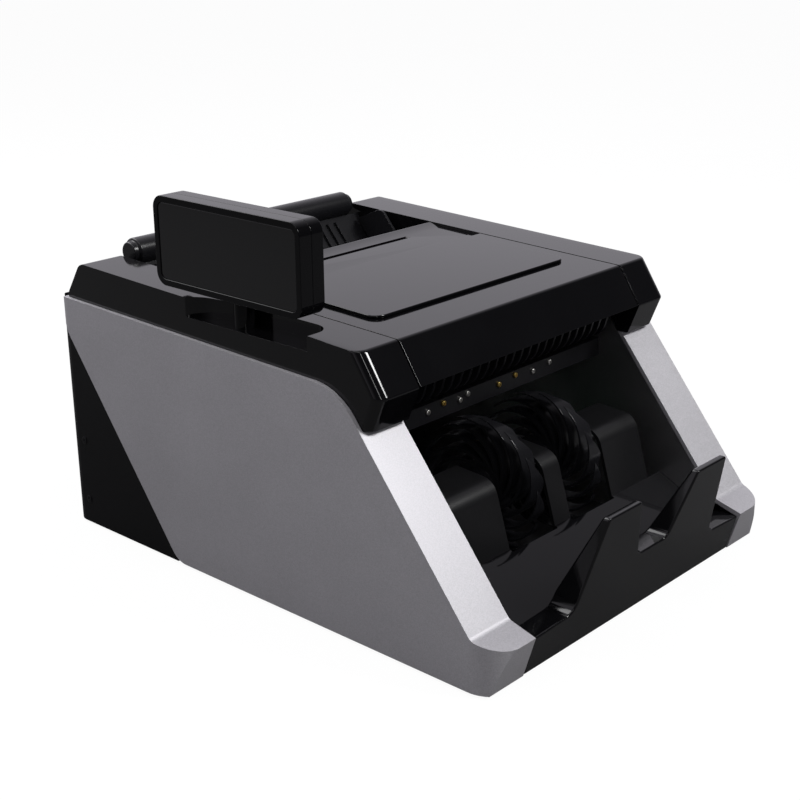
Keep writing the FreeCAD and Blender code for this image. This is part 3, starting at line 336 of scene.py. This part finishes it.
# Mains inlet and rocker switch in the rear wall.
# Glass-filled plastic inlet with three blades; the rocker tips in a snap-in bezel.
inlet_plastic = moulded(
    "inlet_plastic", colour=(0.01, 0.01, 0.011), roughness=0.45, grain=1400.0, depth=0.12
)
eased("power_inlet", edge=0.0004, material=inlet_plastic, segments=2)
eased("switch_bezel", edge=0.0004, material=inlet_plastic, segments=2)
rocker_plastic = moulded(
    "rocker_plastic", colour=(0.014, 0.014, 0.015), roughness=0.2, grain=300.0, depth=0.02
)
eased("switch_rocker", edge=0.0006, material=rocker_plastic)

# Side panels: moulded trays with the sloping pillar and the foot as their front.
# Plastic sprayed with metallic silver paint and screwed to the frame; its flakes vary in roughness and
# relief, and each flake's base colour is made lighter or darker as a painted glint.
silver_paint, silver_shader, silver_point = new_finish("silver_paint")
flake = silver_point.node(
    "ShaderNodeTexVoronoi", {"feature": "F1"}, {"Vector": silver_point, "Scale": 2200.0}, "Color"
)
glint = flake.node("ShaderNodeSeparateColor", {}, {"Color": flake}, 0)
drift = noise(silver_point, scale=14.0, detail=3.0)
peel = noise(silver_point, scale=420.0, detail=2.0)
# Painted glints: the flake mask makes the base colour lighter in some flakes and darker in others, mixed
# with a random tone from the drift.
shade = glint * 0.6 + drift * 0.4
between(shade, (0.36, 0.355, 0.37), (0.52, 0.512, 0.535)).to(silver_shader, "Base Color")
(0.48 + (glint - 0.5) * 0.16 + (drift - 0.5) * 0.06).to(silver_shader, "Roughness")
relief(peel + glint * 0.4, 0.05, 0.0002).to(silver_shader, "Normal")
silver_shader.inputs["Metallic"].default_value = 0.6
silver_shader.inputs["Specular IOR Level"].default_value = 0.4
for side in ("left", "right"):
    eased(side + "_side_panel", edge=0.0016, material=silver_paint, segments=4)

# Top rails, lid and hopper strip: the black cover of the note path.
# Gloss black mouldings; the rails stand on the frame and the lid swings between them.
cover_gloss = moulded(
    "cover_gloss", colour=(0.002, 0.002, 0.0024), roughness=0.08, grain=200.0, depth=0.002, shine=0.35
)
nose_round = 0.007
nose_depth = 0.022
lid_draw = 0.0006
nose_steps = (0.0002, 0.0006, 0.0012, 0.0021, 0.0033, 0.005, nose_round)


def round_nose(shape):
    """Rounds the outer corner of a rail's nose by drawing the front back towards the outer side."""
    outer = max(abs(v.co.x) for v in shape.verts)
    hand = math.copysign(1.0, sum(v.co.x for v in shape.verts))
    for step in nose_steps:
        geometry = shape.verts[:] + shape.edges[:] + shape.faces[:]
        cut = Vector((hand * (outer - step), 0.0, 0.0))
        bmesh.ops.bisect_plane(shape, geom=geometry, dist=1e-7, plane_co=cut, plane_no=(1.0, 0.0, 0.0))
    front = min(v.co.y for v in shape.verts)
    for v in shape.verts:
        inset = outer - abs(v.co.x)
        if inset < nose_round and v.co.y < front + nose_depth:
            v.co.y += nose_round - math.sqrt(nose_round**2 - (nose_round - inset) ** 2)


def draw_in(shape):
    """Draws the lid's sides in a little, for the dark seam that shows beside the rails."""
    half = max(v.co.x for v in shape.verts) - lid_draw
    for v in shape.verts:
        v.co.x = max(-half, min(half, v.co.x))


for side in ("left", "right"):
    eased(side + "_top_rail", edge=0.0009, material=cover_gloss, segments=4, reshape=round_nose)
eased("lid_shell", edge=0.0005, material=cover_gloss, segments=4, reshape=draw_in)
eased("lid_panel", edge=0.0007, material=cover_gloss, segments=4)
eased("hopper_front_strip", edge=0.0008, material=cover_gloss)

# Display head on its neck: bezel, smoked window, rear shell and board.
# Gloss black mouldings snapped together round the board; the neck turns in the rail.
head_gloss = moulded(
    "head_gloss", colour=(0.002, 0.002, 0.0024), roughness=0.08, grain=220.0, depth=0.002, shine=0.18
)
eased("display_neck", edge=0.0005, material=head_gloss)
eased("display_rear_shell", edge=0.0016, material=head_gloss, segments=4)
eased("display_bezel", edge=0.0016, material=head_gloss, segments=4)
smoked_sheet = moulded(
    "smoked_sheet", colour=(0.003, 0.003, 0.0034), roughness=0.04, grain=120.0, depth=0.003, shine=0.55
)
eased("display_window", edge=0.0003, material=smoked_sheet, segments=2)
keep("display_board", board_green)

# Screws: the row in the sensor bar and those of the casing.
# Cross-recessed pan heads; the bar's are zinc plated, some of them yellow, and the casing's are black.
rim_round = 0.38
rim_angle = math.radians(40)
cross_reach = 0.42
cross_depth = 0.6
cross_draft = 0.04
half_height = 0.5
top_line = 0.499


def pan_head(shape, tint, seat, out, radius, height, yellow=0.0):
    """One head on its seat: a short cylinder with a rounded rim and a cross sunk in its top."""
    others = set(shape.faces)
    bmesh.ops.create_cone(shape, cap_ends=True, segments=24, radius1=1.0, radius2=1.0, depth=1.0)
    cap = next(f for f in shape.faces if f not in others and all(v.co.z > 0.0 for v in f.verts))
    bmesh.ops.bevel(
        shape,
        geom=cap.edges[:],
        offset=rim_round,
        offset_type="OFFSET",
        segments=4,
        profile=0.5,
        affect="EDGES",
        material=-1,
    )
    cap = next(f for f in shape.faces if f not in others and all(v.co.z > top_line for v in f.verts))
    rim = cap.edges[:]
    bmesh.ops.delete(shape, geom=[cap], context="FACES_ONLY")
    lift = Matrix.Translation((0.0, 0.0, half_height))
    bmesh.ops.create_grid(shape, x_segments=3, y_segments=3, size=cross_reach, matrix=lift)
    flat = [f for f in shape.faces if f not in others and f.calc_center_median().z > top_line]
    cells = [f for f in flat if len(f.verts) == 4]
    around = [e for e in {e for f in cells for e in f.edges} if e.is_boundary]
    bmesh.ops.bridge_loops(shape, edges=rim + around)
    cross = [f for f in cells if min(abs(c) for c in f.calc_center_median().xy) < 0.01]
    made = [f for f in shape.faces if f not in others]
    bmesh.ops.recalc_face_normals(shape, faces=made)
    bmesh.ops.inset_region(
        shape, faces=cross, thickness=cross_draft, depth=-cross_depth, use_even_offset=True
    )
    made = [f for f in shape.faces if f not in others]
    stretch = Matrix.Diagonal((radius, radius, height, 1.0)) @ lift
    place = Matrix.Translation(seat) @ Vector(out).to_track_quat("Z", "Y").to_matrix().to_4x4() @ stretch
    bmesh.ops.transform(shape, matrix=place, verts=list({v for f in made for v in f.verts}))
    for face in made:
        face.normal_update()
        face.smooth = True
        face[tint] = yellow
    for e in {e for f in made for e in f.edges}:
        e.smooth = e.calc_face_angle(0.0) < rim_angle


def screw_set(node, material, heads):
    """All the heads of one kind of screw, each given as its seat, direction, radius, height and tint."""
    shape = bmesh.new()
    tint = shape.faces.layers.float.new("tint")
    for head in heads:
        pan_head(shape, tint, *head)
    mesh = bpy.data.meshes.new(node)
    shape.to_mesh(mesh)
    shape.free()
    piece = bpy.data.objects.new(node + "_heads", mesh)
    bpy.context.scene.collection.objects.link(piece)
    dress(piece, node, material)
    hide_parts(node)


plated, plated_shader, plated_point = new_finish("plated_zinc")
yellow_share = plated_point.node("ShaderNodeAttribute", {"attribute_name": "tint"}, {}, "Fac")
between(yellow_share, (0.62, 0.61, 0.58), (0.6, 0.42, 0.12)).to(plated_shader, "Base Color")
(0.2 + noise(plated_point, scale=900.0) * 0.18).to(plated_shader, "Roughness")
plated_shader.inputs["Metallic"].default_value = 1.0
black_oxide = rolled_metal(
    "black_oxide", colour=(0.022, 0.022, 0.024), roughness=0.36, stretch=(700.0, 700.0, 700.0)
)
sensor_row = (-0.06602, -0.052, -0.03702, -0.02996, 0.0, 0.01605, 0.03403, 0.05104)
sensor_face_y = -0.06541
sensor_low_z = 0.1175
sensor_stagger = 0.002
sensor_radius = 0.0018
sensor_height = 0.0014
yellow_ones = (1, 4, 5)
forwards = (0.0, -1.0, 0.0)
sensor_heads = []
for i, x in enumerate(sensor_row):
    seat = (x, sensor_face_y, sensor_low_z + sensor_stagger * (i % 2))
    sensor_heads.append((seat, forwards, sensor_radius, sensor_height, float(i in yellow_ones)))
screw_set("sensor_screws", plated, sensor_heads)
wing_face_x = 0.1395
wing_y = 0.172
wing_heights = (0.019, 0.061)
wing_radius = 0.0026
wing_height = 0.0004
rear_x = 0.118
rear_face_y = 0.189
rear_heights = (0.014, 0.14434)
rear_radius = 0.003
rear_height = 0.0012
backwards = (0.0, 1.0, 0.0)
casing_heads = []
for hand in (1.0, -1.0):
    for z in wing_heights:
        casing_heads.append(((hand * wing_face_x, wing_y, z), (hand, 0.0, 0.0), wing_radius, wing_height))
    for z in rear_heights:
        casing_heads.append(((hand * rear_x, rear_face_y, z), backwards, rear_radius, rear_height))
screw_set("casing_screws", black_oxide, casing_heads)

# Stage: a pale floor and a white surround, with four soft lamps and the camera.
# The key stands at the front right, one hangs overhead, one lights the edges from the rear left,
# and a tall strip at the front left draws a line on the gloss.
floor_half = 6.0
paper_strength = 1.58
paper_share = 0.6
floor_mesh = bpy.data.meshes.new("floor")
floor_shape = bmesh.new()
bmesh.ops.create_grid(floor_shape, x_segments=1, y_segments=1, size=floor_half)
floor_shape.to_mesh(floor_mesh)
floor_shape.free()
floor = bpy.data.objects.new("floor", floor_mesh)
bpy.context.scene.collection.objects.link(floor)
floor_paper, floor_shader, floor_point = new_finish("floor_paper")
between(noise(floor_point, scale=3.0), (0.12, 0.12, 0.12), (0.13, 0.13, 0.13)).to(floor_shader, "Base Color")
floor_shader.inputs["Roughness"].default_value = 0.9
floor_shader.inputs["Specular IOR Level"].default_value = 0.0
paper_glow = floor_point.node("ShaderNodeEmission", {}, {"Strength": paper_strength}, 0)
floor_seen = floor_point.node("ShaderNodeLightPath", {}, {}, "Is Camera Ray")
floor_lit = Wire(floor_paper.node_tree, floor_shader.outputs[0])
floor_mix = {0: floor_seen * paper_share, 1: floor_lit, 2: paper_glow}
floor_look = floor_seen.node("ShaderNodeMixShader", {}, floor_mix, 0)
floor_look.to(floor_paper.node_tree.nodes["Material Output"], "Surface")
floor_mesh.materials.append(floor_paper)


lamp_aim = Vector((0.0, 0.0, 0.1))


def softbox(name, place, size, power):
    """A rectangular lamp that looks at the machine, with its size in metres and its power in watts."""
    lamp = bpy.data.lights.new(name, "AREA")
    lamp.shape = "RECTANGLE"
    lamp.size = size[0]
    lamp.size_y = size[1]
    lamp.energy = power
    holder = bpy.data.objects.new(name, lamp)
    holder.location = place
    holder.rotation_euler = (lamp_aim - Vector(place)).to_track_quat("-Z", "Y").to_euler()
    bpy.context.scene.collection.objects.link(holder)


softbox("key", place=(0.7, -1.3, 1.44), size=(0.5, 0.5), power=28.0)
softbox("overhead", place=(-0.45, -0.2, 1.65), size=(1.0, 1.0), power=5.0)
softbox("rear left", place=(-0.37, 1.17, 1.48), size=(1.2, 1.2), power=24.0)
softbox("strip", place=(-0.95, -1.5, 1.0), size=(0.12, 0.9), power=3.0)

front_glow = 0.05
rear_glow = 0.77
fill_glow = 0.5
world = bpy.data.worlds.new("surround")
bpy.context.scene.world = world
world.use_nodes = True
sky = world.node_tree.nodes["Background"]
rays = Wire(world.node_tree)
camera_ray = rays.node("ShaderNodeLightPath", {}, {}, "Is Camera Ray")
between(camera_ray, (0.95, 0.92, 1.0), (1.0, 1.0, 1.0)).to(sky, "Color")
glossy_ray = rays.node("ShaderNodeLightPath", {}, {}, "Is Glossy Ray")
passing_ray = rays.node("ShaderNodeLightPath", {}, {}, "Is Transmission Ray")
heading = rays.node("ShaderNodeTexCoord", {}, {}, "Generated")
rearward = rays.node("ShaderNodeSeparateXYZ", {}, {"Vector": heading}, "Y")
rear_half = rays.node(
    "ShaderNodeMapRange", {"clamp": True}, {"Value": rearward, "From Min": -0.35, "From Max": 0.45}, "Result"
)
mirrored = glossy_ray.math("MAXIMUM", glossy_ray, passing_ray) * (front_glow + rear_half * rear_glow)
seen = camera_ray.math("MAXIMUM", camera_ray, mirrored)
unseen = 1.0 - camera_ray.math("MAXIMUM", camera_ray, camera_ray.math("MAXIMUM", glossy_ray, passing_ray))
(seen + unseen * fill_glow).to(sky, "Strength")

camera_place = Vector((-0.65862, -0.58558, 0.40718))
camera = bpy.data.cameras.new("camera")
camera.lens = 65.13
camera.sensor_width = 36.0
stand = bpy.data.objects.new("camera", camera)
right = Vector((0.67236217, -0.74017529, -0.00834553))
up = Vector((0.25450382, 0.22057038, 0.94158192))
back = Vector((-0.69509489, -0.63520804, 0.33668062))
turn = Matrix((right, up, back)).transposed().to_4x4()
stand.matrix_world = Matrix.Translation(camera_place) @ turn
bpy.context.scene.collection.objects.link(stand)
bpy.context.scene.camera = stand
bpy.context.scene.view_settings.view_transform = "Standard"
